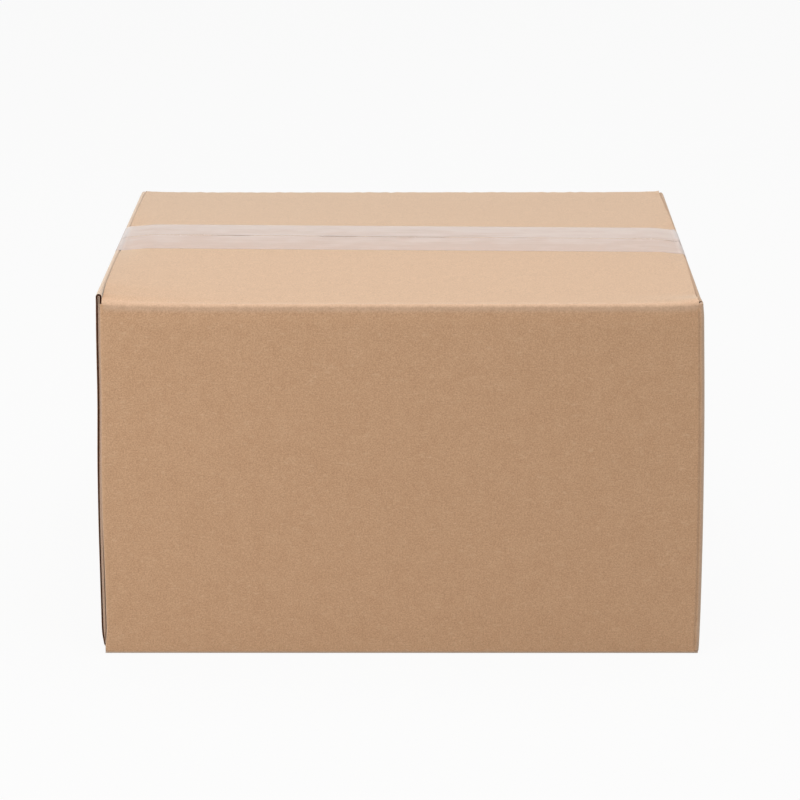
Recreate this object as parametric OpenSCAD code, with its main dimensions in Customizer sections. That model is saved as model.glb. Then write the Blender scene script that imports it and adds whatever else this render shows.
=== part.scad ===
// Regular slotted carton of thin corrugated board, closed and taped shut.
// One blank makes the four walls, a glued tab at the front left corner, four top flaps and
// four bottom flaps. A strip of clear packing tape holds each centre seam shut.
// The origin is at the middle of the base, on the floor. X runs along the front panel,
// Y runs from the front to the back and Z is up. All sizes are in millimetres.

/* [Carton] */
// Width over the two side panels
carton_w = 253; // [180:1:400]
// Depth over the front and back panels
carton_d = 205; // [120:1:300]
// Height of the front panel from the floor to its top fold
carton_h = 155; // [130:1:320]

/* [Board] */
// Thickness of the corrugated board
board_t = 1.7; // [1.2:0.1:3]
// Thickness of each of its two liners, as seen at a cut edge
liner_t = 0.4; // [0.2:0.05:0.5]
// Depth of the open flute along a cut edge that runs with the flutes
flute_depth = 3; // [1:0.5:6]
// Inside radius of every fold
fold_r = 0.2; // [0.1:0.05:0.6]

/* [Flaps] */
// Gap between the two outer flaps at a centre seam
seam_gap = 0.9; // [0.3:0.1:3]
// Room between the end of an outer flap and the folded side panel next to it
slot_clear = 0.2; // [0.1:0.1:3]
// Room between an outer flap and the inner flap below it
flap_clear = 0.2; // [0.1:0.1:2]
// Rise of the top outer flaps from the front fold to the seam
roof_rise = 3.6; // [0.5:0.1:6]
// Slope of the bottom outer flaps from the fold up to the top of the tape
base_slope = 3; // [2:0.5:8]
// Height of the folded side panels above the fold of the front panel
side_rise = 0.4; // [0:0.1:2]

/* [Glued joint] */
// Width of the tab that is glued behind the left side panel
tab_w = 30; // [20:1:45]
// Room between the fold of the tab and the cut edge of the left side panel
joint_clear = 0.6; // [0.2:0.1:3]
// Height by which the left side panel is glued too high at its front edge
joint_lift = 3.4; // [0:0.1:5]
// Slant of the two ends of the tab
tab_slant = 15; // [5:1:30]

/* [Tape] */
// Width of the packing tape
tape_w = 45; // [24:1:75]
// Thickness of the packing tape
tape_t = 0.06; // [0.04:0.01:0.2]
// Length of tape that goes down each side from the top
top_leg = 52; // [20:1:60]
// Length of tape that goes up each side from the bottom
base_leg = 50; // [20:1:60]

/* [Hidden] */
$fn = 64;
kraft = [0.76, 0.61, 0.46];
film = [0.88, 0.82, 0.76];

// Outside radius of every fold
fold_out = fold_r + board_t;
// Outer faces of the carton
side_x = carton_w / 2;
front_y = -carton_d / 2;
back_y = carton_d / 2;
// Height of the bottom outer flaps above the floor, where the tape lies between the two
base_rise = tape_t;
// Ends of the flat walls, where the folds begin
wall_bottom = base_rise + fold_out;
wall_top = carton_h - fold_out;
// Distance from an outer face to the end of the flaps next to it
flap_setback = 2 * fold_out + slot_clear;

// Top outer flaps: the slope that gives the rise, and the length that reaches the seam
flap_reach = carton_d / 2 - seam_gap / 2 - fold_out;
roof_slope = asin(roof_rise / flap_reach);
roof_run = (flap_reach + fold_out * sin(roof_slope)) / cos(roof_slope);
seam_top = wall_top + fold_out * cos(roof_slope) + roof_run * sin(roof_slope);
// Bottom outer flaps: a short slope up from the fold, then flat to the seam
base_ramp = (base_rise - (fold_out + fold_r) * (1 - cos(base_slope))) / sin(base_slope);
base_run = flap_reach + (fold_out + fold_r) * sin(base_slope) - base_ramp * cos(base_slope);

// Inner flaps: every flap of the blank is cut half as long as the carton is deep
inner_run = carton_d / 2 - 2 * fold_out - board_t;
inner_drop = side_rise + board_t + flap_clear - fold_out - fold_r;
right_leg = max(0, inner_drop);
left_leg = max(0, inner_drop + joint_lift);

// Left side panel: its cut edge, its back fold and the slope between them
joint_y = front_y + fold_out + joint_clear;
hinge_y = back_y - fold_out;
joint_len = hinge_y - joint_y;
joint_slope = atan(joint_lift / joint_len);
// Ends of the tab, clear of the folded flaps above and below it
tab_drop = joint_lift + 2 * fold_out + flap_clear;

// Straight stretches that stand for each rounded corner of the tape
wrap_n = 4;
// Overlap of cutting solids past the surface that they cut
cut = 1;

// Part of a ring of board between two radii and two angles, up to half a turn
module arc_band(r_in, r_out, from, sweep) {
    reach = 2 * r_out;
    intersection() {
        difference() {
            circle(r_out);
            circle(r_in);
        }
        polygon(concat(
            [[0, 0]],
            [for (k = [0:3]) reach * [cos(from + k * sweep / 3), sin(from + k * sweep / 3)]]
        ));
    }
}

// Strip of board seen along its folds. It starts at the origin and runs along X with its
// outer face on the X axis. Each step is a straight length and a turn: a positive turn folds
// the board inwards and a negative one folds it outwards. The layer drawn lies between the
// depths lo and hi below the outer face.
module strip(steps, lo = 0, hi = board_t, i = 0) {
    if (i < len(steps)) {
        run = steps[i][0];
        turn = steps[i][1];
        pivot = turn > 0 ? -fold_out : fold_r;
        if (run > 0) {
            translate([0, -hi]) square([run, hi - lo]);
        }
        translate([run, pivot]) {
            if (turn > 0) {
                arc_band(fold_out - hi, fold_out - lo, 90 - turn, turn);
            }
            if (turn < 0) {
                arc_band(fold_r + lo, fold_r + hi, 270, -turn);
            }
            rotate(-turn) translate([0, -pivot]) strip(steps, lo, hi, i + 1);
        }
    }
}

// Folded strip as a solid of a given length, with an open flute along each cut end
module folded_board(steps, length) {
    difference() {
        linear_extrude(length) strip(steps);
        for (z = [-cut, length - flute_depth]) {
            translate([0, 0, z]) linear_extrude(flute_depth + cut) strip(steps, liner_t, board_t - liner_t);
        }
    }
}

// Board that starts up the front panel at height z and folds back over the carton
module from_front(steps, z) {
    length = carton_w - 2 * flap_setback;
    translate([-length / 2, front_y, z]) rotate([180, -90, 0]) folded_board(steps, length);
}

// Board that starts up the left side panel at height z and folds in over the carton.
// It runs from the depth y_start to the depth y_end.
module from_left(steps, z, y_start, y_end) {
    translate([-side_x, y_end, z]) rotate([90, -90, 0]) folded_board(steps, y_end - y_start);
}

// Open flute inside that board, from the depth -y_end to the pivot
module flute_from_left(steps, y_end) {
    translate([-side_x, 0, 0]) rotate([90, -90, 0]) linear_extrude(y_end) strip(steps, liner_t, board_t - liner_t);
}

// The four walls without the left side panel, from the back left fold round to the tab's fold
module wall_ring() {
    translate([-side_x, hinge_y, wall_bottom]) linear_extrude(wall_top - wall_bottom) rotate(90) strip([
        [0, 90],
        [carton_w - 2 * fold_out, 90],
        [carton_d - 2 * fold_out, 90],
        [carton_w - 2 * fold_out - board_t, 90]
    ]);
}

// Tab that carries on from the front panel and is glued behind the left side panel
module glue_tab() {
    taper = tab_w * tan(tab_slant);
    low = wall_bottom + tab_drop;
    high = wall_top - tab_drop;
    root = front_y + fold_out;
    translate([-side_x + board_t, 0, 0]) rotate([90, 0, 90]) linear_extrude(board_t) polygon([
        [root, low],
        [root + tab_w, low + taper],
        [root + tab_w, high - taper],
        [root, high]
    ]);
}

// Left side panel with its two inner flaps. It leans up towards the front by joint_lift, and
// is drawn upright about the middle of its back fold, then turned and cut off plumb.
module left_side() {
    half = (wall_top + side_rise - wall_bottom) / 2;
    upright_half = half * cos(joint_slope);
    top_steps = [[upright_half, 180], [left_leg, -90], [inner_run, 0]];
    bottom_steps = [[upright_half, 180], [0, -90], [inner_run, 0]];
    shift = half * tan(joint_slope);
    front_end = joint_len + shift + flute_depth + cut;
    back_end = flap_setback - fold_out + shift;
    seat = [0, hinge_y, wall_bottom + half];
    difference() {
        translate(seat) rotate([-joint_slope, 0, 0]) {
            from_left(top_steps, 0, -front_end, -back_end);
            mirror([0, 0, 1]) from_left(bottom_steps, 0, -front_end, -back_end);
            translate([-side_x, -back_end - flute_depth - cut, -upright_half])
                cube([board_t, back_end + flute_depth + 2 * cut, 2 * upright_half]);
        }
        translate([-side_x - cut, joint_y - carton_d, -cut]) cube([side_x, carton_d, 2 * carton_h]);
        translate([-side_x - cut, hinge_y, -cut]) cube([side_x, carton_d, 2 * carton_h]);
        intersection() {
            translate(seat) rotate([-joint_slope, 0, 0]) {
                flute_from_left(top_steps, front_end);
                mirror([0, 0, 1]) flute_from_left(bottom_steps, front_end);
            }
            translate([-side_x, joint_y - cut, -cut]) cube([side_x, flute_depth + cut, 2 * carton_h]);
        }
    }
}

// Inner flaps of the right side panel, top and bottom
module right_flaps() {
    y_start = front_y + flap_setback;
    mirror([1, 0, 0]) {
        from_left([[side_rise, 180], [right_leg, -90], [inner_run, 0]], wall_top, y_start, -y_start);
        translate([0, 0, wall_bottom]) mirror([0, 0, 1])
            from_left([[0, 180], [0, -90], [inner_run, 0]], 0, y_start, -y_start);
    }
}

// Outer flaps of the front panel, top and bottom
module front_flaps() {
    from_front([[0, 90 - roof_slope], [roof_run, 0]], wall_top);
    translate([0, 0, wall_bottom]) mirror([0, 0, 1])
        from_front([[base_rise, 90 + base_slope], [base_ramp, -base_slope], [base_run, 0]], 0);
}

module carton() {
    color(kraft) {
        wall_ring();
        glue_tab();
        left_side();
        right_flaps();
        front_flaps();
        mirror([0, 1, 0]) front_flaps();
    }
}

// Points of tape round a fold on the left, from the side panel up to the line that runs
// on to the end of the outer flaps. The tape touches the fold without cutting it.
function wrap(centre, flap_end, r) =
    let (
        to_end = flap_end - centre,
        last = atan2(to_end[1], to_end[0]) + acos(r / norm(to_end)),
        step = (180 - last) / wrap_n
    )
    [for (k = [0:wrap_n - 1])
        let (a = 180 - (k + 0.5) * step)
        centre + r / cos(step / 2) * [cos(a), sin(a)]
    ];

// Outline of all that lies inside the tape, seen from the front and grown by grow
module tape_outline(seam_z, left_z, right_z, leg_z, grow) {
    r = fold_out + grow;
    flap_end = [-side_x + flap_setback, seam_z + grow];
    left = wrap([-side_x + fold_out, left_z], flap_end, r);
    right = wrap([-side_x + fold_out, right_z], flap_end, r);
    polygon(concat(
        [[-side_x - grow, leg_z]],
        left,
        [flap_end],
        [[-flap_end[0], flap_end[1]]],
        [for (k = [wrap_n - 1:-1:0]) [-right[k][0], right[k][1]]],
        [[side_x + grow, leg_z]]
    ));
}

// Block under the tape, as wide as the tape and cut to the slope of the two outer flaps
module tape_block(seam_z, slope, left_z, right_z, leg_z, grow, extra) {
    half = tape_w / 2 + extra;
    fall = (half - seam_gap / 2) * tan(slope);
    low = leg_z - extra;
    top = seam_z + grow;
    intersection() {
        translate([0, half, 0]) rotate([90, 0, 0]) linear_extrude(2 * half)
            tape_outline(seam_z, left_z, right_z, low, grow);
        translate([-side_x - cut, 0, 0]) rotate([90, 0, 90]) linear_extrude(carton_w + 2 * cut) polygon([
            [-half, low],
            [-half, top - fall],
            [-seam_gap / 2, top],
            [seam_gap / 2, top],
            [half, top - fall],
            [half, low]
        ]);
    }
}

// Strip of tape over a seam and down both sides
module tape(seam_z, slope, left_z, right_z, leg_z) {
    color(film) difference() {
        tape_block(seam_z, slope, left_z, right_z, leg_z, tape_t, 0);
        tape_block(seam_z, slope, left_z, right_z, leg_z, 0, cut);
    }
}

// Height that the lean of the left side panel adds at a distance y from the middle
function lean(y) = joint_lift * (hinge_y - y) / joint_len;

module top_tape() {
    fold_z = wall_top + side_rise;
    tape(seam_top, roof_slope, fold_z + lean(-tape_w / 2), fold_z, fold_z - top_leg);
}

module bottom_tape() {
    mirror([0, 0, 1])
        tape(-base_rise, 0, -wall_bottom - lean(tape_w / 2), -wall_bottom, -wall_bottom - base_leg);
}

carton();
top_tape();
bottom_tape();
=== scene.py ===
"""Looks of a closed shipping carton: brown corrugated board taped shut with clear film.

The carton is one die-cut blank, folded by a function, so its panels, flaps, folds and open cut
edges are one sheet of board. Sizes are in millimetres in the part's frame and become metres
when a mesh is made.
"""

import math

import bmesh
import bpy
import numpy as np
from mathutils import Matrix


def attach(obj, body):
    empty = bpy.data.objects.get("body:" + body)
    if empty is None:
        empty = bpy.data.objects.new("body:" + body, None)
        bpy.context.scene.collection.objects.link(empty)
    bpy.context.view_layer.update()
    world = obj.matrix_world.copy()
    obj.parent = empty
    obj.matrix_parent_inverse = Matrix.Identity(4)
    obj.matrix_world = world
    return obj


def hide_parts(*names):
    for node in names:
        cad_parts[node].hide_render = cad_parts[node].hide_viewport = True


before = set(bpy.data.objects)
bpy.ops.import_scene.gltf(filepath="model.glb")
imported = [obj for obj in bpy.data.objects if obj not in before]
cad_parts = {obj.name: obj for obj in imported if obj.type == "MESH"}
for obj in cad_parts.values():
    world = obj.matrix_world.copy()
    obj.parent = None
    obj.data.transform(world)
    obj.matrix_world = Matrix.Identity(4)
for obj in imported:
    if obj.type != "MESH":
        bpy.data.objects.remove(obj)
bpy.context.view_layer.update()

# Sizes of the carton, in millimetres
HALF_W = 126.5  # outer face of a side panel
HALF_D = 102.5  # outer face of the front and back panels
CREASE = 153.13  # top of the front and back folds
BOARD = 1.7  # thin single-wall board
OUTER, INNER = 0.12, 0.98  # depths between which the flute is open at a cut edge
FOLD = 1.9  # outside radius of an upright fold
SCORE = 1.5  # outside radius of the folds of the outer flaps
ROLL = 1.15  # outside radius of a side fold, crushed flat as it turns by half a turn
TAB_FOLD = 1.6  # fold between the front panel and the glued tab
PITCH = 3.2  # one flute
FLOOR_LIFT = 0.1  # bottom flaps above the floor, where the tape lies between
LIFT = 3.5  # how far the left panel was glued too high at the front corner
TAPE_NEAR, TAPE_FAR = -21.8, 22.4  # edges of the tape
FILM = 0.05  # height of the tape above the board
TAPE_CLEAR = 0.02  # further gap, so that the two never touch
TOP_LEG, BASE_LEG = 52.0, 50.0  # tape down each side from the top, and up from the bottom
FOOT_SHARE = 0.72  # share of the left panel's lean that is left at its foot
SPRING_REACH = 7.0  # how far from a cut end the crushed side fold springs open
FLAP_RISE, FLAP_TILT = 3.12, 1.1  # rise of the outer flaps to the seam, and how much less it is on the right
RIPPLE = 0.13  # height of the flute's ripple along a crease
OPEN_REACH = 2.6  # how deep the flute is open behind a cut edge
TAB_RUN, TAB_INSET, TAB_SLANT = 30.0, 7.0, 15.0  # tab's length, and the step and slant (degrees) of its ends
STUB_RISE = 3.4  # height that the tab's fold would gain in one step of t above the crease
RIGHT_STUB, LEFT_STUB = 1.24, 1.37  # t up to which the board stands up at the ends of the front slots

# Ends of the flat panels, where the corner folds begin
FRONT_LEFT, FRONT_RIGHT = -123.2, HALF_W - FOLD
SIDE_BACK = HALF_D - FOLD
CUT_EDGE = -100.0  # free edge of the left panel at the glued corner
FLAP_RUN = HALF_D - SCORE  # from an outer flap's fold to the middle of the box
LEFT_END, RIGHT_END = -123.9, FRONT_RIGHT + 0.6  # ends of the outer flaps at the tape

# Places where the seam of the outer flaps opens: start and end in x, and share of the full gap
SEAM_OPENINGS = (
    (-84, -68, 0.55),
    (-76, -67, 0.4),
    (-37, -19, 0.8),
    (-15, 20, 0.6),
    (49, 58, 0.4),
    (120, 123, 1),
)


def smooth(x, low, high):
    """Eased step from 0 at low to 1 at high."""
    u = np.clip((np.asarray(x, float) - low) / (high - low), 0.0, 1.0)
    return u * u * (3.0 - 2.0 * u)


def lean(y):
    """Height that the badly glued left panel gains towards the front."""
    return LIFT * (SIDE_BACK - np.asarray(y, float)) / (SIDE_BACK - CUT_EDGE)


def crest(side, y):
    """Top of a side panel's fold; side is -1 on the left and 1 on the right."""
    y = np.asarray(y, float)
    if side < 0:
        return CREASE + 0.55 + lean(y)
    return CREASE - 0.1 + 1.0 * smooth(y, -88.0, -100.0)


def sprung(side, y):
    """1 at a cut end where the crushed side fold springs open, and 0 away from it.

    The front end of the right fold stays crushed.
    """
    near = y - CUT_EDGE if side < 0 else SIDE_BACK
    return 1.0 - smooth(np.minimum(SIDE_BACK - y, near), 0.0, SPRING_REACH)


def flap_end_height(side, y):
    """Top of an outer flap at its end, where it climbs onto the fold of the side panel."""
    q = HALF_D - np.abs(y)
    if side < 0:
        above = np.where(
            np.asarray(y) < 0,
            np.interp(q, [0, 8, 20, 45, 73, 102.5], [-3.3, -1.1, 0.25, 0.8, 0.9, 0.6]),
            np.interp(q, [0, 8, 25, 60, 102.5], [0.0, 0.5, 1.0, 1.4, 1.5]),
        )
    else:
        above = np.interp(q, [0, 8, 25, 60, 102.5], [0.0, 0.45, 0.8, 1.0, 0.6])
    return crest(side, y) + above


def roof(x, y):
    """Top face of the two outer flaps, from their folds up to the seam."""
    x, y = np.broadcast_arrays(np.asarray(x, float), np.asarray(y, float))
    q = HALF_D - np.abs(y)
    rise = FLAP_RISE - FLAP_TILT * x / 115.0
    base = CREASE + rise * (q / HALF_D) ** 0.94
    for side, reach in ((-1, 24.0), (1, 16.0)):
        gap = flap_end_height(side, y) - base
        base = base + np.maximum(gap, 0.0) * np.exp(-(124.3 - side * x) / reach)
    # The tape pulls the ends of the flaps down
    pulled = np.exp(-((y / 30.0) ** 4))
    return base - pulled * (1.2 * smooth(-x, 111.0, 124.3) + 1.0 * smooth(x, 114.0, 124.3))


def seam_gap(x):
    """Half the gap between the two outer flaps, which open in places along the seam."""
    wide = 0.0
    for start, end, share in SEAM_OPENINGS:
        wide = wide + share * smooth(x, start - 2.0, start + 2.0) * smooth(x, end + 2.0, end - 2.0)
    return 0.12 + 0.6 * wide


def settle(points):
    """Draws the closed carton in towards the top and right at the floor, and bows its sides."""
    points = np.array(points, float)
    x, y, z = points[..., 0], points[..., 1], points[..., 2]
    drawn = np.where(x < 0, 1.9, 2.1) * np.clip((z - 48.0) / 106.0, 0.0, 1.0) ** 1.5
    # The right side bows out at mid height and in at its ends; the left side is dented above the middle
    bowed = 0.18 * np.exp(-(((z - 105.0) / 36.0) ** 2)) - 0.3 * np.exp(-((z / 16.0) ** 2))
    bowed = bowed - 0.3 * smooth(z, 147.0, 153.0)
    bowed = np.where(x < 0, -0.36 * np.exp(-(((z - 112.0) / 20.0) ** 2)), bowed)
    half = 126.44 - 0.4 * np.exp(-z / 1.8) - drawn + bowed
    points[..., 0] = x * half / HALF_W
    # The left panel's lower corner is pressed against the glued tab, which is folded wider there
    x = points[..., 0]
    pressed = smooth(z, 10.5, 1.5) * smooth(y, -70.0, CUT_EDGE) * smooth(x, -123.4, -124.4)
    points[..., 0] += pressed * (0.25 - 0.4 * (x + 124.8))
    corner = smooth(z, 12.0, 1.0) * smooth(y, CUT_EDGE - 0.4, CUT_EDGE - 0.9) * smooth(x, -100.0, -123.0)
    points[..., 0] -= 0.6 * corner
    return points


class Sheet:
    """Board built from blocks of cells, each with its two papers and its open cut edges."""

    LEVELS = (0.0, OUTER, INNER, BOARD)

    def __init__(self):
        self.points, self.faces, self.kinds, self.scuff_and_painted_light = [], [], [], []
        self.count = 0

    def block(self, place, s, t, free, hollow=None, cap=None, scuff_and_painted_light=None):
        """Adds place(s, t, depth) over a grid. s runs to the right and t upwards, seen from outside.

        free names the sides that are cut edges. hollow is true for cells whose middle is open,
        because the flute beside a cut edge is open. cap gives, for a joined side, the s up to
        which the panel next to it is closed, so that the open flute ends there.
        The last argument tells, for each s and t, how far the outer paper is paled, partly by scuffs and
        partly by painted highlights on the folds, or below 0 how far it is darkened by painted shade.
        """
        m, n = len(s), len(t)
        hollow = np.zeros((m - 1, n - 1), bool) if hollow is None else hollow
        cap = cap or {}
        grid_s, grid_t = np.meshgrid(s, t, indexing="ij")
        for depth in self.LEVELS:
            self.points.append(place(grid_s, grid_t, depth).reshape(-1, 3))
            self.scuff_and_painted_light.append((scuff_and_painted_light(grid_s, grid_t) if scuff_and_painted_light else 0.0 * grid_s).reshape(-1))
        start = self.count
        self.count += 4 * m * n

        def at(i, j, k):
            return start + (k * m + i) * n + j

        def face(kind, *corners):
            self.faces.append(corners)
            self.kinds.append(kind)

        def band(kind, a, b, low, high):
            """Quad across the thickness over the edge from a to b, both (i, j)."""
            face(kind, at(*a, high), at(*b, high), at(*b, low), at(*a, low))

        for i in range(m - 1):
            for j in range(n - 1):
                ring = ((i, j), (i + 1, j), (i + 1, j + 1), (i, j + 1))
                face(0, *[at(*p, 0) for p in ring])
                face(0, *[at(*p, 3) for p in reversed(ring)])
                if hollow[i, j]:
                    face(2, *[at(*p, 1) for p in reversed(ring)])
                    face(2, *[at(*p, 2) for p in ring])
                near = (
                    ("t0", j == 0, (i, j - 1), ring[0], ring[1]),
                    ("s1", i == m - 2, (i + 1, j), ring[1], ring[2]),
                    ("t1", j == n - 2, (i, j + 1), ring[2], ring[3]),
                    ("s0", i == 0, (i - 1, j), ring[3], ring[0]),
                )
                for side, border, cell, a, b in near:
                    if border and side in free:
                        band(1, a, b, 0, 1)
                        band(1, a, b, 2, 3)
                        if not hollow[i, j]:
                            band(1, a, b, 1, 2)
                    elif border and hollow[i, j] and s[i] < cap.get(side, s[0]):
                        band(2, b, a, 1, 2)
                    elif not border and not hollow[i, j] and hollow[cell]:
                        band(2, a, b, 1, 2)


def lines(*stops):
    """Grid lines through the stops; each stop after the first is (value, cells up to it)."""
    out = [stops[0]]
    for value, cells in stops[1:]:
        out += list(np.linspace(out[-1], value, cells + 1)[1:])
    return np.array(out)


def wave(x, period, seed):
    """Uneven ripple of a given period, without repeats that the eye can find."""
    k = 2.0 * math.pi / period
    return (
        np.sin(k * x + seed) * (0.7 + 0.3 * np.sin(0.083 * x + 2.1 * seed))
        + 0.45 * np.sin(1.5 * k * x + 1.7 * seed)
        + 0.3 * np.sin(0.31 * k * x + 3.3 * seed)
    )


def front_panel(sign):
    """Places a front (-1) or back (1) panel with its outer flaps. s is x, turned round behind."""

    def place(s, t, w):
        x = s if sign < 0 else -s
        top, low = CREASE - SCORE, FLOOR_LIFT + SCORE
        y = np.full_like(x, HALF_D) - w
        z = low + (top - low) * np.clip(t, 0.0, 1.0)
        # Folds over the top: t from 1 to 2 is the arc and above 2 is the run in mm
        for over, up in ((t - 1.0, 1.0), (-t, -1.0)):
            angle = np.clip(over, 0.0, 1.0) * math.pi / 2
            run = np.clip(over - 1.0, 0.0, None)
            bent = over > 0
            radius = SCORE - w
            y = np.where(bent, HALF_D - SCORE + radius * np.cos(angle) - run, y)
            z = np.where(bent, (top if up > 0 else low) + up * radius * np.sin(angle), z)
        inward = HALF_D - y
        # The flap's free end stops short of the middle by the gap of the seam
        y = y + seam_gap(x) * smooth(inward, FLAP_RUN - 6.0, FLAP_RUN)
        # The panel leans in just under the scored fold
        y = y - 0.28 * smooth(t, 0.95, 0.995) * smooth(inward, 6.0, 0.0)
        # Away from the fold the slots are cut narrower, and the bottom corners stick out
        if sign < 0:
            left = smooth(x, FRONT_LEFT + 22.0, FRONT_LEFT)
            x = x - 0.7 * left * (smooth(t, 2.0, 10.0) + smooth(-t, 1.0, 9.0))
        else:
            x = x + 0.7 * smooth(-x, 102.0, 124.6) * (smooth(t, 1.0, 4.0) + smooth(-t, 0.0, 3.0))
        corner = smooth(-t, 0.0, 0.5) * smooth(-t, 1.05, 0.8)
        x = x + 1.6 * corner * smooth(x, 118.0, 124.6)
        x = x - 1.5 * corner * smooth(-x, 117.0, 123.2)
        drift = 0.9 * np.clip((inward - 8.0) / 70.0, 0.0, 1.0) - 0.3 * smooth(t, 1.0, 3.0)
        x = x + np.where(t > 1.0, drift * smooth(x, 100.0, 124.6), 0.0)
        if sign < 0:
            x = x - 0.7 * smooth(t, 1.0, 1.5) * smooth(t, 8.0, 2.0) * smooth(-x, 117.0, 123.2)
        rest = np.minimum(inward, HALF_D)
        lifted = roof(x, sign * (HALF_D - np.clip(rest - 0.5, 0.0, None))) - CREASE
        z = z + np.where(t > 1.0, lifted * smooth(rest, -0.5, 3.0), 0.0)
        # The fold climbs a little towards its two ends
        if sign < 0:
            near_end = 0.95 * np.exp(-(124.6 - x) / 4.5) + np.exp(-(x + 124.5) / 15.0)
        else:
            near_end = 0.6 * np.exp(-(124.6 - x) / 8.0) + 0.3 * np.exp(-(x + 124.5) / 6.0)
        z = z + near_end * smooth(z, CREASE - 6.5, CREASE - 1.2) * smooth(rest, 12.0, 1.0)
        near = np.exp(-(((t - 1.45) / 1.1) ** 2)) * smooth(t, 0.97, 1.0)
        ripple = RIPPLE * wave(x, 2.0 * PITCH, 1.0 if sign < 0 else 4.0) * near
        y, z = y + 0.6 * (ripple - 0.13 * near), z + ripple
        return np.stack([x, sign * y, z], -1)

    return place


def side_panel(side):
    """Places a left (-1) or right (1) panel with its inner flaps. s is y, turned round on the left."""

    def place(s, t, w):
        y = s if side > 0 else -s
        spring = sprung(side, y)
        radius = ROLL + 0.15 * spring
        top = crest(side, y) - radius
        low = FLOOR_LIFT + (FOOT_SHARE * lean(y) if side < 0 else 0.0) + radius
        # The board is crushed where it folds; at the cut ends its flute stays open
        crushed = 0.6 + (0.08 if w == BOARD else 0.32) * spring
        at_fold = smooth(np.abs(np.clip(t, -9.0, 10.0) - 0.5), 0.455, 0.492)
        # The joint was glued under pressure, which pinches the left panel's lower half
        pinched = 0.22 * smooth(t, 0.65, 0.35) * smooth(t, 0.0, 0.06) if side < 0 and w == INNER else 0.0
        x = HALF_W - w * (1.0 - (1.0 - crushed) * at_fold) + pinched
        z = low + (top - low) * np.clip(t, 0.0, 1.0)
        for over, up, end in ((t - 1.0, 1.0, top), (-t, -1.0, low)):
            # 0 to 1 is the half turn, 1 to 2 the leg, 2 to 3 the bend and above 3 the run in mm
            if up > 0:
                level = np.minimum(CREASE - BOARD - 0.35, top - 0.3)
            else:
                level = np.maximum(FLOOR_LIFT + BOARD + 0.3, low + 0.3)
            leg = np.abs(end - level) - 0.3
            bent = over > 0
            depth = w * (crushed + (1.0 - crushed) * smooth(over, 2.0, 3.0))
            angle = np.clip(over, 0.0, 1.0) * math.pi
            turn_x = HALF_W - radius + (radius - depth) * np.cos(angle)
            turn_z = end + up * (radius - depth) * np.sin(angle)
            turn_z = turn_z - up * leg * np.clip(over - 1.0, 0.0, 1.0)
            bend = np.clip(over - 2.0, 0.0, 1.0) * math.pi / 2
            centre_x = HALF_W - 2.0 * radius - 0.3
            run = np.clip(over - 3.0, 0.0, None)
            bend_x = centre_x + (0.3 + depth) * np.cos(bend) - run
            bend_z = end - up * leg - up * (0.3 + depth) * np.sin(bend)
            x = np.where(bent, np.where(over > 2.0, bend_x, turn_x), x)
            z = np.where(bent, np.where(over > 2.0, bend_z, turn_z), z)
        return np.stack([side * x, y, z], -1)

    return place


def corner_fold(radius, start, first, second):
    """Places an upright fold; it follows the edges of its two panels, also beyond their folds."""

    def arc(s, w):
        angle = start + s * math.pi / 2
        return (radius - w) * np.stack([np.cos(angle), np.sin(angle), 0.0 * s], -1)

    def place(s, t, w):
        out = arc(s, w)
        level = np.minimum(t, 1.0)
        for edge, share, end in ((first, 1.0 - s, 0.0 * s), (second, s, 0.0 * s + 1.0)):
            # Above the crease the board stands up with its full thickness
            at = edge(level, w) + edge(t, 0.0) - edge(level, 0.0)
            out = out + share[..., None] * (at - arc(end, w))
        return out

    return place


def tab_height(t):
    """Height of the tab's fold at t, from 0 at its foot to 1 at the crease."""
    z = FLOOR_LIFT + SCORE + (CREASE - 2.0 * SCORE - FLOOR_LIFT) * np.clip(t, 0.0, 1.0)
    return z + STUB_RISE * np.clip(t - 1.0, 0.0, 1.0)


def stand_off(t):
    """Crevice between the left panel's cut edge and the tab's fold, which opens in the lower half."""
    z = tab_height(t)
    return 0.55 * smooth(z, 72.0, 34.0) * smooth(z, 0.0, 9.0)


def glued_tab(s, t, w):
    """Places the tab behind the left panel; s is 0 at its fold and negative towards the back."""
    inset = TAB_INSET * smooth(-s, 0.0, 2.0) - s * math.tan(math.radians(TAB_SLANT))
    z = tab_height(t) + inset * (1.0 - 2.0 * t)
    x = w - HALF_W + BOARD + stand_off(t) * smooth(s, -6.0, -1.0)
    return np.stack([x, -HALF_D + TAB_FOLD - s, z], -1)


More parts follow.
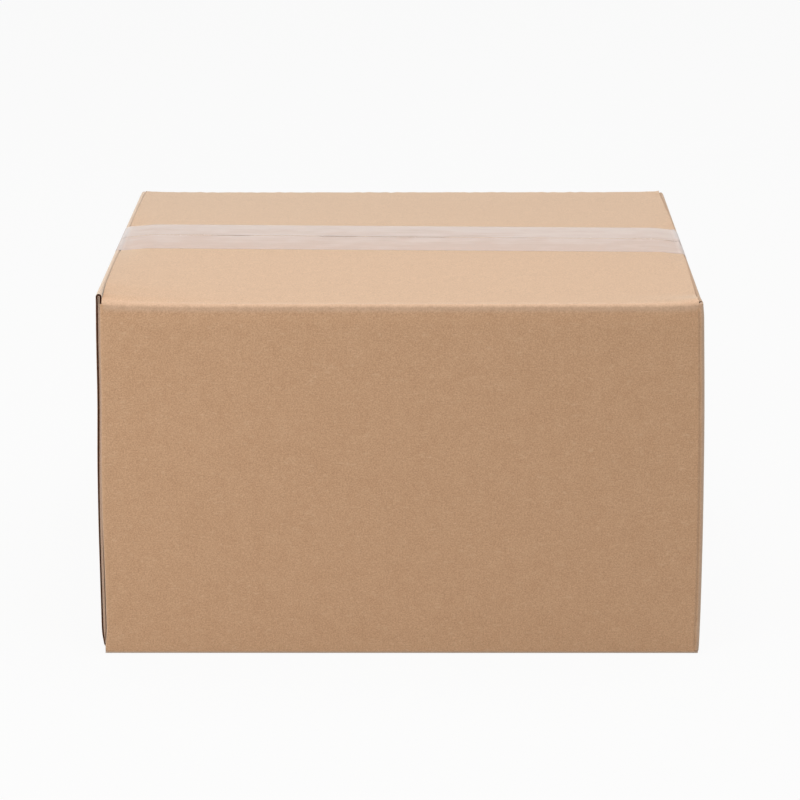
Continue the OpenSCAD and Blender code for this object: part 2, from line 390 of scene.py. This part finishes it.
def build_board():
    """The whole blank as one mesh: four panels, three corner folds, the tab and eight flaps."""
    sheet = Sheet()
    wall = lines(0.0, (0.03, 6), (0.12, 5), (0.88, 12), (0.95, 4), (1.0, 10))
    last = FLAP_RUN + 2.0
    over = lines(1.0, (2.0, 10), (8.0, 8), (22.0, 5), (92.0, 7), (last - 1.2, 5), (last, 2))
    under = -lines(0.0, (1.0, 10), (7.0, 6), (21.0, 3), (91.0, 3), (last - 2.2, 4), (last - 1.0, 2))[::-1]
    inner_over = lines(1.0, (2.0, 16), (3.0, 3), (4.0, 5), (90.0, 2), (99.0, 2))
    inner_under = -lines(0.0, (1.0, 16), (2.0, 3), (3.0, 5), (90.0, 2), (98.0, 2))[::-1]

    def open_cells(s, t, sides, crushed=False):
        """Cells with an open flute, beside the cut edges that sides names."""
        hollow = np.zeros((len(s) - 1, len(t) - 1), bool)
        mid = (s[:-1] + s[1:]) / 2
        if "s0" in sides:
            hollow[mid < s[0] + OPEN_REACH, :] = True
        if "s1" in sides:
            hollow[mid > s[-1] - OPEN_REACH, :] = True
        if "t1" in sides:
            hollow[:, -2:] = True
        if "t0" in sides:
            hollow[:, :2] = True
        if crushed:  # the scored fold and the first millimetres of the flap are closed
            hollow[:, np.abs(t[:-1] + t[1:]) < 6.0] = False
        return hollow

    # How far the outer paper is paled by scuffs and painted highlights on its folds, or darkened by painted
    # shade
    def outer_scuff_and_painted_light(s, t):
        # Along the top crease: partly scuffed paper, partly a painted highlight
        over_top = 0.5 * smooth(t, 0.983, 0.998) * smooth(t, 4.5, 1.6)
        # Along the bottom fold: partly scuffed paper, partly a painted highlight of the light from the floor
        under_base = 0.9 * smooth(t, 0.012, -0.3) * smooth(t, -1.8, -1.0)
        # Painted shade along the score line of the front-right corner fold
        score_painted_shade = np.exp(-(((s - FRONT_RIGHT + 0.3) / 0.45) ** 2)) * smooth(np.abs(t - 0.5), 0.5, 0.48)
        return over_top + under_base - 0.7 * score_painted_shade

    # The left panel's top fold is paled: partly scuffed paper, partly painted sheen where the fold turns to
    # the side
    def left_scuff_and_painted_sheen(s, t):
        return smooth(t, 0.99, 1.1) * smooth(t, 3.0, 2.0)

    # Painted shade darkens the right panel's top fold
    def right_painted_shade(s, t):
        return -0.4 * left_scuff_and_painted_sheen(s, t)

    front, back = front_panel(-1), front_panel(1)
    left, right = side_panel(-1), side_panel(1)
    for place, cells, begin in ((front, 208, FRONT_LEFT), (back, 90, -FRONT_RIGHT)):
        s = lines(begin, (begin + OPEN_REACH, 3), (FRONT_RIGHT - OPEN_REACH, cells), (FRONT_RIGHT, 7))
        sheet.block(place, s, wall, (), scuff_and_painted_light=outer_scuff_and_painted_light)
        for rows, tip in ((over, "t1"), (under, "t0")):
            free = ("s0", "s1", tip)
            sheet.block(place, s, rows, free, open_cells(s, rows, free, crushed=True), None, outer_scuff_and_painted_light)
    for place, begin, end in ((left, -SIDE_BACK, -CUT_EDGE), (right, -SIDE_BACK, SIDE_BACK)):
        first = ((begin + OPEN_REACH, 3), (begin + 10.0, 4))
        s = lines(begin, *first, (end - 10.0, 32), (end - OPEN_REACH, 4), (end, 4))
        free = ("s1",) if place is left else ()
        # The left top fold is paled by scuff and painted sheen, and the right top fold is darkened by painted
        # shade
        scuff_and_light = left_scuff_and_painted_sheen if place is left else right_painted_shade
        sheet.block(place, s, wall, free, open_cells(s, wall, free), None, scuff_and_light)
        for rows, tip, joined in ((inner_over, "t1", "t0"), (inner_under, "t0", "t1")):
            free = ("s0", "s1", tip)
            cap = {joined: end if place is right else 0.0}
            sheet.block(place, s, rows, free, open_cells(s, rows, free), cap, scuff_and_light)

    def edge(place, value):
        return lambda t, w: place(np.full_like(t, value), t, w)

    # The two right corner folds are paled: partly scuffed paper, partly a painted reflection of the white
    # backdrop
    def corner_scuff_and_painted_highlight(s, t):
        return 0.7 * np.sin(math.pi * (0.1 + 0.6 * s))

    turn = lines(0.0, (1.0, 6))
    quarter = math.pi / 2
    # At the front, the board stands up above the crease a little, at the end of the slot
    corners = (
        (FOLD, -quarter, edge(front, FRONT_RIGHT), edge(right, -SIDE_BACK), corner_scuff_and_painted_highlight, RIGHT_STUB),
        (FOLD, 0.0, edge(right, SIDE_BACK), edge(back, -FRONT_RIGHT), corner_scuff_and_painted_highlight, None),
        (FOLD, quarter, edge(back, FRONT_RIGHT), edge(left, -SIDE_BACK), None, None),
        (TAB_FOLD, -math.pi, edge(glued_tab, 0.0), edge(front, FRONT_LEFT), None, LEFT_STUB),
    )
    for radius, start, first, second, scuff_and_light, stub in corners:
        place = corner_fold(radius, start, first, second)
        sheet.block(place, turn, wall, ("t0",) if stub else ("t0", "t1"), scuff_and_painted_light=scuff_and_light)
        if stub:
            sheet.block(place, turn, lines(1.0, (stub, 4)), ("s0", "s1", "t1"), scuff_and_painted_light=scuff_and_light)
    sheet.block(glued_tab, lines(-TAB_RUN, (-6.0, 6), (0.0, 5)), wall, ("s0", "t0", "t1"))
    return sheet


def make_mesh(name, points, faces, kinds, materials, scuff_and_painted_light=None, merge=1e-6):
    """Mesh object in metres with merged seams, smooth folds and sharp cut edges."""
    mesh = bpy.data.meshes.new(name)
    mesh.from_pydata((np.asarray(points) * 0.001).tolist(), [], faces)
    if scuff_and_painted_light is not None:
        # Per-point fold marks for the paper's colour: scuffs, painted highlights and painted shade
        scuff_and_light = mesh.attributes.new("fold_scuff_and_painted_light", "FLOAT", "POINT")
        scuff_and_light.data.foreach_set("value", np.asarray(scuff_and_painted_light, np.float32))
    for material in materials:
        mesh.materials.append(material)
    mesh.polygons.foreach_set("material_index", np.asarray(kinds, np.int32))
    build = bmesh.new()
    build.from_mesh(mesh)
    bmesh.ops.remove_doubles(build, verts=build.verts, dist=merge)
    build.to_mesh(mesh)
    build.free()
    mesh.polygons.foreach_set("use_smooth", np.ones(len(mesh.polygons), bool))
    mesh.set_sharp_from_angle(angle=math.radians(50))
    mesh.update()
    piece = bpy.data.objects.new(name, mesh)
    bpy.context.scene.collection.objects.link(piece)
    return piece


def linear(code):
    """sRGB hex code as a linear colour with alpha."""
    parts = [int(code[i : i + 2], 16) / 255.0 for i in (1, 3, 5)]
    return tuple(c / 12.92 if c <= 0.04045 else ((c + 0.055) / 1.055) ** 2.4 for c in parts) + (1.0,)


def grey(value):
    """Grey as a linear colour with alpha."""
    return (value, value, value, 1.0)


def add_node(tree, kind, settings=None, stops=(), **inputs):
    """Adds a node, sets its properties and ramp stops, and fills its inputs, named or as i0, i1,
    with values or with the first output of another node."""
    node = tree.nodes.new(kind)
    for key, value in (settings or {}).items():
        setattr(node, key, value)
    while stops and len(node.color_ramp.elements) < len(stops):
        node.color_ramp.elements.new(0.5)
    for index, (position, colour) in enumerate(stops):
        node.color_ramp.elements[index].position = position
        node.color_ramp.elements[index].color = colour
    for key, value in inputs.items():
        numbered = key[0] == "i" and key[1:].isdigit()
        socket = node.inputs[int(key[1:])] if numbered else node.inputs[key.replace("_", " ")]
        if isinstance(value, bpy.types.Node):
            value = value.outputs[0]
        if isinstance(value, bpy.types.NodeSocket):
            tree.links.new(value, socket)
        else:
            socket.default_value = value
    return node


def new_material(name, roughness, ior):
    """Material with one Principled shader; gives its tree, its shader and the object's coordinates."""
    material = bpy.data.materials.new(name)
    material.use_nodes = True
    tree = material.node_tree
    tree.nodes.clear()
    shader = add_node(tree, "ShaderNodeBsdfPrincipled", None, Roughness=roughness, IOR=ior)
    add_node(tree, "ShaderNodeOutputMaterial", None, Surface=shader)
    return material, tree, shader, add_node(tree, "ShaderNodeTexCoord").outputs["Object"]


MIX = {"data_type": "RGBA", "blend_type": "MIX"}


def kraft_liner():
    """Unbleached kraft liner, machine-made and uncoated: matt brown with short pulp fibres, cloudy
    patches where the pulp settled unevenly, and a few dark bark specks. Its fuzz pales the brown
    where it is seen at a low angle, as on the top of the box."""
    material, tree, shader, place = new_material("uncoated_kraft_liner", 0.72, 1.5)
    # Clouds of pulp are 5 mm across. Real fibres are 2 mm by 0.03 mm, too fine to show, so flecks and
    # fibres are drawn 0.6 mm wide.
    cloud = add_node(tree, "ShaderNodeTexNoise", None, Vector=place, Scale=200.0, Detail=3.0, Roughness=0.6)
    fleck = add_node(tree, "ShaderNodeTexNoise", None, Vector=place, Scale=1650.0, Detail=3.0, Roughness=0.75)
    along = add_node(tree, "ShaderNodeMapping", None, Vector=place, Scale=(450.0, 1800.0, 1300.0))
    fibre = add_node(tree, "ShaderNodeTexNoise", None, Vector=along, Scale=1.0, Detail=1.0)
    stops = ((0.25, linear("#A07550")), (0.5, linear("#C59A74")), (0.75, linear("#E0B692")))
    flecked = add_node(tree, "ShaderNodeValToRGB", None, stops, Fac=fleck)
    stops = ((0.3, linear("#B98C67")), (0.7, linear("#CDA37F")))
    cloudy = add_node(tree, "ShaderNodeValToRGB", None, stops, Fac=cloud)
    colour = add_node(tree, "ShaderNodeMix", MIX, i0=0.25, i6=flecked, i7=cloudy).outputs[2]
    pale = add_node(tree, "ShaderNodeValToRGB", None, ((0.62, grey(0.0)), (0.78, grey(0.4))), Fac=fibre)
    colour = add_node(tree, "ShaderNodeMix", MIX, i0=pale, i6=colour, i7=linear("#D9B593")).outputs[2]
    # A bark speck is 0.5 mm across, and some of the 4 mm cells hold one
    spot = add_node(tree, "ShaderNodeTexVoronoi", None, Vector=place, Scale=240.0)
    stops = ((0.06, grey(0.45)), (0.1, grey(0.0)))
    bark = add_node(tree, "ShaderNodeValToRGB", None, stops, Fac=spot.outputs["Distance"])
    stops = ((0.55, grey(0.0)), (0.75, grey(1.0)))
    kept = add_node(tree, "ShaderNodeValToRGB", None, stops, Fac=spot.outputs["Color"])
    both = add_node(tree, "ShaderNodeMath", {"operation": "MULTIPLY"}, i0=bark, i1=kept)
    colour = add_node(tree, "ShaderNodeMix", MIX, i0=both, i6=colour, i7=linear("#7A5638")).outputs[2]
    # Fold marks pale the paper towards a grey tan, partly as scuffed paper and partly as painted highlights
    # and painted sheen on the folds; below 0 they darken it as painted shade on the right folds and the score
    # line
    fold = add_node(tree, "ShaderNodeAttribute", {"attribute_name": "fold_scuff_and_painted_light"}).outputs["Fac"]
    scuff_and_highlight = add_node(tree, "ShaderNodeMath", {"operation": "MULTIPLY"}, i0=fold, i1=0.5)
    colour = add_node(tree, "ShaderNodeMix", MIX, i0=scuff_and_highlight, i6=colour, i7=linear("#DAC3B0")).outputs[2]
    # Painted shade: negative fold marks darken the paper towards #8C6E58
    pressed = add_node(tree, "ShaderNodeMath", {"operation": "MULTIPLY", "use_clamp": True}, i0=fold, i1=-0.6)
    colour = add_node(tree, "ShaderNodeMix", MIX, i0=pressed, i6=colour, i7=linear("#8C6E58")).outputs[2]
    tree.links.new(colour, shader.inputs["Base Color"])
    relief = add_node(tree, "ShaderNodeMath", {"operation": "ADD"}, i0=fleck, i1=fibre)
    bump = add_node(tree, "ShaderNodeBump", None, Height=relief, Distance=0.00004, Strength=0.5)
    tree.links.new(bump.outputs["Normal"], shader.inputs["Normal"])
    shader.inputs["Sheen Weight"].default_value = 0.6
    shader.inputs["Sheen Tint"].default_value = linear("#FBFFF4")
    shader.inputs["Sheen Roughness"].default_value = 0.5
    return material


def cut_liner():
    """Cut edge of kraft paper, sheared by the die: its core is paler and greyer than its face and
    slightly furry, with tufts 0.4 mm across."""
    material, tree, shader, place = new_material("die_cut_kraft_edge", 0.9, 1.5)
    fuzz = add_node(tree, "ShaderNodeTexNoise", None, Vector=place, Scale=2500.0, Detail=3.0, Roughness=0.7)
    stops = ((0.3, linear("#AA8D76")), (0.7, linear("#CFB6A2")))
    colour = add_node(tree, "ShaderNodeValToRGB", None, stops, Fac=fuzz)
    tree.links.new(colour.outputs[0], shader.inputs["Base Color"])
    return material


def fluting_paper():
    """Semi-chemical fluting, corrugated hot: brown paper with 0.8 mm clumps of pulp, which looks dark
    because it lies inside the board."""
    material, tree, shader, place = new_material("corrugated_fluting_paper", 0.9, 1.5)
    pulp = add_node(tree, "ShaderNodeTexNoise", None, Vector=place, Scale=1250.0, Roughness=0.6)
    stops = ((0.3, linear("#A27657")), (0.7, linear("#C09270")))
    colour = add_node(tree, "ShaderNodeValToRGB", None, stops, Fac=pulp)
    tree.links.new(colour.outputs[0], shader.inputs["Base Color"])
    return material


def packing_film():
    """Clear acrylic packing tape, pulled off a roll and rubbed down: a thin glossy film, milky in
    streaks along its length where the glue has not wetted the rough paper. The streaks are 24 mm by
    1 mm, in patches 14 mm by 9 mm, and the film ripples every 12 mm along and 2.4 mm across."""
    material, tree, shader, place = new_material("clear_acrylic_packing_film", 0.32, 1.47)
    along = add_node(tree, "ShaderNodeMapping", None, Vector=place, Scale=(41.0, 910.0, 150.0))
    streak = add_node(tree, "ShaderNodeTexNoise", None, Vector=along, Scale=1.0, Detail=3.0, Roughness=0.6)
    wide = add_node(tree, "ShaderNodeMapping", None, Vector=place, Scale=(70.0, 111.0, 111.0))
    patch = add_node(tree, "ShaderNodeTexNoise", None, Vector=wide, Scale=1.0)
    milky = add_node(tree, "ShaderNodeMath", {"operation": "MULTIPLY_ADD"}, i0=streak, i1=0.42)
    # The film is milkier over the back flap than over the front flap
    split = add_node(tree, "ShaderNodeSeparateXYZ", None, Vector=place).outputs
    side = add_node(tree, "ShaderNodeMath", {"operation": "MULTIPLY"}, i0=split["Y"], i1=9.0)
    share = add_node(tree, "ShaderNodeMath", {"operation": "MULTIPLY_ADD"}, i0=patch, i1=0.58, i2=side)
    tree.links.new(share.outputs[0], milky.inputs[2])
    stops = ((0.35, linear("#E8DAD3")), (0.65, linear("#EEE5E1")))
    colour = add_node(tree, "ShaderNodeValToRGB", None, stops, Fac=milky)
    tree.links.new(colour.outputs[0], shader.inputs["Base Color"])
    stops = ((0.3, grey(0.315)), (0.5, grey(0.345)), (0.7, grey(0.375)))
    alpha = add_node(tree, "ShaderNodeValToRGB", None, stops, Fac=milky)
    # Over the open seam of the flaps there is no paper to turn the glue milky
    out = add_node(tree, "ShaderNodeMath", {"operation": "ABSOLUTE"}, i0=split["X"])
    beyond = add_node(tree, "ShaderNodeMath", {"operation": "SUBTRACT"}, i0=out, i1=0.1232)
    beside = add_node(tree, "ShaderNodeMath", {"operation": "ABSOLUTE"}, i0=split["Y"])
    away = add_node(tree, "ShaderNodeMath", {"operation": "MAXIMUM"}, i0=beside, i1=beyond)
    clear = add_node(
        tree, "ShaderNodeMapRange", None, Value=away, From_Min=0.0002, From_Max=0.0006, To_Min=0.47
    )
    veiled = add_node(tree, "ShaderNodeMath", {"operation": "MULTIPLY"}, i0=alpha, i1=clear)
    # Over the fold of a side panel the film is made more opaque and milky: a painted highlight where it bends
    # over the fold
    bent = add_node(
        tree, "ShaderNodeMapRange", None, Value=out, From_Min=0.1205, From_Max=0.1235, To_Max=0.22
    )
    upper = add_node(tree, "ShaderNodeMapRange", None, Value=split["Z"], From_Min=0.15, From_Max=0.1525)
    raised = add_node(tree, "ShaderNodeMath", {"operation": "MULTIPLY_ADD"}, i0=bent, i1=upper, i2=veiled)
    tree.links.new(raised.outputs[0], shader.inputs["Alpha"])
    long = add_node(tree, "ShaderNodeMapping", None, Vector=place, Scale=(83.0, 416.0, 416.0))
    ripple = add_node(tree, "ShaderNodeTexNoise", None, Vector=long, Scale=1.0)
    bump = add_node(tree, "ShaderNodeBump", None, Height=ripple, Distance=0.00005, Strength=0.6)
    tree.links.new(bump.outputs["Normal"], shader.inputs["Normal"])
    return material


kraft, cut_edge, fluting, film = kraft_liner(), cut_liner(), fluting_paper(), packing_film()

board = build_board()
shape = settle(np.concatenate(board.points))
scuff_and_painted_light = np.concatenate(board.scuff_and_painted_light)
carton = make_mesh("carton_board", shape, board.faces, board.kinds, (kraft, cut_edge, fluting), scuff_and_painted_light)
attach(carton, "root")
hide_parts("carton")


def fluting_tree():
    """Geometry Nodes: a corrugated strip along a path, with the flutes' pitch, height and depth."""
    tree = bpy.data.node_groups.new("corrugated_strip", "GeometryNodeTree")
    face = tree.interface
    face.new_socket("Path", in_out="INPUT", socket_type="NodeSocketGeometry")
    for name, value in (("Pitch", 0.0032), ("Height", 0.0006), ("Depth", 0.001), ("Paper", 0.00015)):
        face.new_socket(name, in_out="INPUT", socket_type="NodeSocketFloat").default_value = value
    face.new_socket("Material", in_out="INPUT", socket_type="NodeSocketMaterial")
    face.new_socket("Strip", in_out="OUTPUT", socket_type="NodeSocketGeometry")
    given = add_node(tree, "NodeGroupInput").outputs
    step = add_node(tree, "ShaderNodeMath", {"operation": "DIVIDE"}, i0=given["Pitch"], i1=8.0)
    path = add_node(tree, "GeometryNodeMeshToCurve", None, Mesh=given["Path"])
    even = add_node(tree, "GeometryNodeResampleCurve", {"mode": "LENGTH"}, Curve=path, Length=step)
    along = add_node(tree, "GeometryNodeSplineParameter").outputs["Length"]
    flutes = add_node(tree, "ShaderNodeMath", {"operation": "DIVIDE"}, i0=along, i1=given["Pitch"])
    angle = add_node(tree, "ShaderNodeMath", {"operation": "MULTIPLY"}, i0=flutes, i1=2.0 * math.pi)
    sine = add_node(tree, "ShaderNodeMath", {"operation": "SINE"}, i0=angle)
    half = add_node(tree, "ShaderNodeMath", {"operation": "MULTIPLY"}, i0=given["Height"], i1=0.5)
    height = add_node(tree, "ShaderNodeMath", {"operation": "MULTIPLY"}, i0=sine, i1=half)
    offset = add_node(tree, "ShaderNodeCombineXYZ", None, Z=height)
    waved = add_node(tree, "GeometryNodeSetPosition", None, Geometry=even, Offset=offset)
    upright = add_node(tree, "GeometryNodeSetCurveNormal", {"mode": "Z_UP"}, Curve=waved)
    section = add_node(
        tree,
        "GeometryNodeCurvePrimitiveQuadrilateral",
        {"mode": "RECTANGLE"},
        Width=given["Depth"],
        Height=given["Paper"],
    )
    strip = add_node(
        tree, "GeometryNodeCurveToMesh", None, Curve=upright, Profile_Curve=section, Fill_Caps=True
    )
    real = add_node(tree, "GeometryNodeRealizeInstances", None, Geometry=strip)
    painted = add_node(tree, "GeometryNodeSetMaterial", None, Geometry=real, Material=given["Material"])
    add_node(tree, "NodeGroupOutput", None, Strip=painted)
    return tree


def grow(name, points, tree, values):
    """Runs a Geometry Nodes tree over a path of points in millimetres and keeps the plain mesh."""
    mesh = bpy.data.meshes.new(name + "_path")
    edges = [(k, k + 1) for k in range(len(points) - 1)]
    mesh.from_pydata((np.asarray(points) * 0.001).tolist(), edges, [])
    seed = bpy.data.objects.new(name + "_path", mesh)
    bpy.context.scene.collection.objects.link(seed)
    modifier = seed.modifiers.new("nodes", "NODES")
    modifier.node_group = tree
    for item in tree.interface.items_tree:
        if item.item_type == "SOCKET" and item.in_out == "INPUT" and item.name in values:
            modifier[item.identifier] = values[item.name]
    evaluated = seed.evaluated_get(bpy.context.evaluated_depsgraph_get())
    made = bpy.data.meshes.new_from_object(evaluated)
    made.name = name
    bpy.data.objects.remove(seed)
    bpy.data.meshes.remove(mesh)
    piece = bpy.data.objects.new(name, made)
    bpy.context.scene.collection.objects.link(piece)
    return piece


corrugated = fluting_tree()
seam_x = np.linspace(-119.0, 120.0, 60)
flute_middle = (OUTER + INNER) / 2
strip_sizes = {"Pitch": PITCH * 0.001, "Height": 0.0006, "Depth": 0.0009, "Paper": 0.00014}
for label, sign in (("front", -1), ("back", 1)):
    y = sign * (seam_gap(seam_x) + 0.75)
    for where, z in (("top", roof(seam_x, y) - flute_middle), ("base", FLOOR_LIFT + flute_middle + 0.0 * y)):
        path = settle(np.stack([seam_x, y, z], -1))
        strip = grow(f"fluting_{where}_{label}", path, corrugated, {**strip_sizes, "Material": fluting})
        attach(strip, "root")


def tape_leg(side, flip, y):
    """Path of the tape in x and z at depth y, up a side panel and over its fold to the flap's end."""
    flap_end = -LEFT_END if side < 0 else RIGHT_END
    if flip > 0:
        crest_z = float(crest(side, y))
        end_z = float(roof(side * flap_end, y)) + FILM + 0.03
        leg_z = crest_z - ROLL - TOP_LEG - 0.15 * math.sin(3.1 * y)
    else:
        crest_z = FLOOR_LIFT + (FOOT_SHARE * float(lean(y)) if side < 0 else 0.0)
        end_z = FLOOR_LIFT - FILM
        leg_z = crest_z + ROLL + BASE_LEG + 0.15 * math.sin(2.7 * y)
    centre = np.array([HALF_W - ROLL, crest_z - flip * ROLL])
    end = np.array([flap_end, end_z])
    gap = ROLL + FILM + TAPE_CLEAR
    offset = end - centre
    reach = math.hypot(*offset)
    last = math.atan2(flip * offset[1], offset[0]) - math.acos(min(1.0, gap / reach))
    shares = np.linspace(0.0, 1.0, 14)[:-1]
    leg = [(HALF_W + FILM + TAPE_CLEAR, leg_z + (centre[1] - leg_z) * u) for u in shares]
    bend = [
        (centre[0] + gap * math.cos(a), centre[1] + flip * gap * math.sin(a))
        for a in np.linspace(0.0, max(last, 0.02), 7)
    ]
    return [(side * x, z) for x, z in leg + bend]


def build_tape(flip):
    """Strip of tape over the top seam (1) or the bottom seam (-1) with its two legs."""
    middle = ((-6.5, 9), (-2.0, 12), (2.0, 12))
    rows = lines(TAPE_NEAR, (TAPE_NEAR + 1.5, 3), *middle, (TAPE_FAR - 1.5, 14), (TAPE_FAR, 3))
    across = np.linspace(LEFT_END, RIGHT_END, 150)
    grid = []
    for y in rows:
        if flip > 0:
            level = roof(across, y) + FILM + 0.05
            # Pressed into the seam, with one small crinkle near the right end
            level = level - 0.3 * (seam_gap(across) - 0.1) * np.exp(-((y / 0.5) ** 2))
            level = level + 0.38 * np.exp(-(((across - 119.0) / 1.6) ** 2) - ((y + 2.0) / 0.8) ** 2)
        else:
            level = np.full_like(across, FLOOR_LIFT - FILM - 0.01)
        profile = tape_leg(-1, flip, y) + list(zip(across, level)) + tape_leg(1, flip, y)[::-1]
        grid.append([(x, y, z) for x, z in profile])
    grid = np.array(grid)
    m, n = grid.shape[:2]
    faces = []
    for i in range(m - 1):
        for j in range(n - 1):
            ring = (i * n + j, i * n + j + 1, (i + 1) * n + j + 1, (i + 1) * n + j)
            faces.append(ring if flip > 0 else ring[::-1])
    return settle(grid.reshape(-1, 3)), faces


for name, flip in (("top_tape", 1), ("bottom_tape", -1)):
    points, faces = build_tape(flip)
    sheet = make_mesh(name + "_sheet", points, faces, [0] * len(faces), (film,))
    thicken = sheet.modifiers.new("film", "SOLIDIFY")
    thicken.thickness = 0.6 * FILM * 0.001
    thicken.offset = -1.0
    made = bpy.data.meshes.new_from_object(sheet.evaluated_get(bpy.context.evaluated_depsgraph_get()))
    bpy.data.objects.remove(sheet)
    tape = bpy.data.objects.new(name + "_film", made)
    bpy.context.scene.collection.objects.link(tape)
    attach(tape, "root")
    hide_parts(name)

# Floor: the camera sees it near white, and the light sees a pale grey paper
floor_mesh = bpy.data.meshes.new("studio_floor")
floor_mesh.from_pydata([(-6, -6, 0), (6, -6, 0), (6, 6, 0), (-6, 6, 0)], [], [(0, 1, 2, 3)])
floor = bpy.data.objects.new("studio_floor", floor_mesh)
bpy.context.scene.collection.objects.link(floor)
paper = bpy.data.materials.new("white_background_paper")
paper.use_nodes = True
tree = paper.node_tree
tree.nodes.clear()
rays = add_node(tree, "ShaderNodeLightPath").outputs
seen = add_node(tree, "ShaderNodeMath", {"operation": "MULTIPLY"}, i0=rays["Is Camera Ray"], i1=0.93)
matt = add_node(tree, "ShaderNodeBsdfDiffuse", None, Color=linear("#C0C0BE"))
white = add_node(tree, "ShaderNodeEmission", None, Color=linear("#FFFFFF"), Strength=1.0)
surface = add_node(tree, "ShaderNodeMixShader", None, i0=seen, i1=matt, i2=white)
add_node(tree, "ShaderNodeOutputMaterial", None, Surface=surface)
floor_mesh.materials.append(paper)

world = bpy.data.worlds.new("white_tent")
bpy.context.scene.world = world
world.use_nodes = True
tree = world.node_tree
tree.nodes.clear()
rays = add_node(tree, "ShaderNodeLightPath").outputs
seen = rays["Is Camera Ray"]
for kind in ("Is Glossy Ray", "Is Transmission Ray"):
    seen = add_node(tree, "ShaderNodeMath", {"operation": "MAXIMUM"}, i0=seen, i1=rays[kind])
ambient = add_node(tree, "ShaderNodeBackground", None, Color=linear("#FFFFFF"), Strength=0.33)
backdrop = add_node(tree, "ShaderNodeBackground", None, Color=linear("#FFFFFF"), Strength=1.0)
both = add_node(tree, "ShaderNodeMixShader", None, i0=seen, i1=ambient, i2=backdrop)
add_node(tree, "ShaderNodeOutputWorld", None, Surface=both)


def set_axes(piece, across, upward, back, place):
    """Puts a lamp or the camera at place, looking against back with upward at the top of its view."""
    rows = [[across[k], upward[k], back[k], place[k]] for k in range(3)]
    piece.matrix_world = Matrix(rows + [[0.0, 0.0, 0.0, 1.0]])


def soft_box(name, place, aim, size, power):
    """Large square lamp at place, turned towards aim."""
    light = bpy.data.lights.new(name, "AREA")
    light.size = size
    light.energy = power
    lamp = bpy.data.objects.new(name, light)
    back = np.array(place, float) - np.array(aim, float)
    back /= np.linalg.norm(back)
    side = np.cross((0.0, 1.0, 0.2), back)
    side /= np.linalg.norm(side)
    up = np.cross(back, side)
    set_axes(lamp, side, up, back, place)
    bpy.context.scene.collection.objects.link(lamp)


soft_box("overhead_soft_box", (0.2, -0.14, 1.7), (0.0, 0.0, 0.1), 1.6, 25.8)
soft_box("front_left_soft_box", (-0.75, -0.8, 0.45), (0.0, -0.1, 0.08), 0.6, 4.9)

# Camera solved from the corners of the carton: 129 mm lens on a 36 mm frame
TILT, YAW, TWIST = (math.radians(a) for a in (15.593, -0.414, -0.15))
ahead = np.array([math.sin(YAW) * math.cos(TILT), math.cos(YAW) * math.cos(TILT), -math.sin(TILT)])
right = np.array([math.cos(YAW), -math.sin(YAW), 0.0])
up = np.cross(right, ahead)
across = math.cos(TWIST) * right + math.sin(TWIST) * up
upward = -math.sin(TWIST) * right + math.cos(TWIST) * up
place = (0.00821, -1.22981, 0.46129)
camera_data = bpy.data.cameras.new("camera")
camera_data.sensor_width = 36.0
camera_data.lens = 2862.0 / 800.0 * camera_data.sensor_width
camera_data.shift_y = -0.1
camera_data.clip_start, camera_data.clip_end = 0.05, 40.0
camera = bpy.data.objects.new("camera", camera_data)
set_axes(camera, across, upward, -ahead, place)
bpy.context.scene.collection.objects.link(camera)
bpy.context.scene.camera = camera
bpy.context.scene.view_settings.view_transform = "Standard"
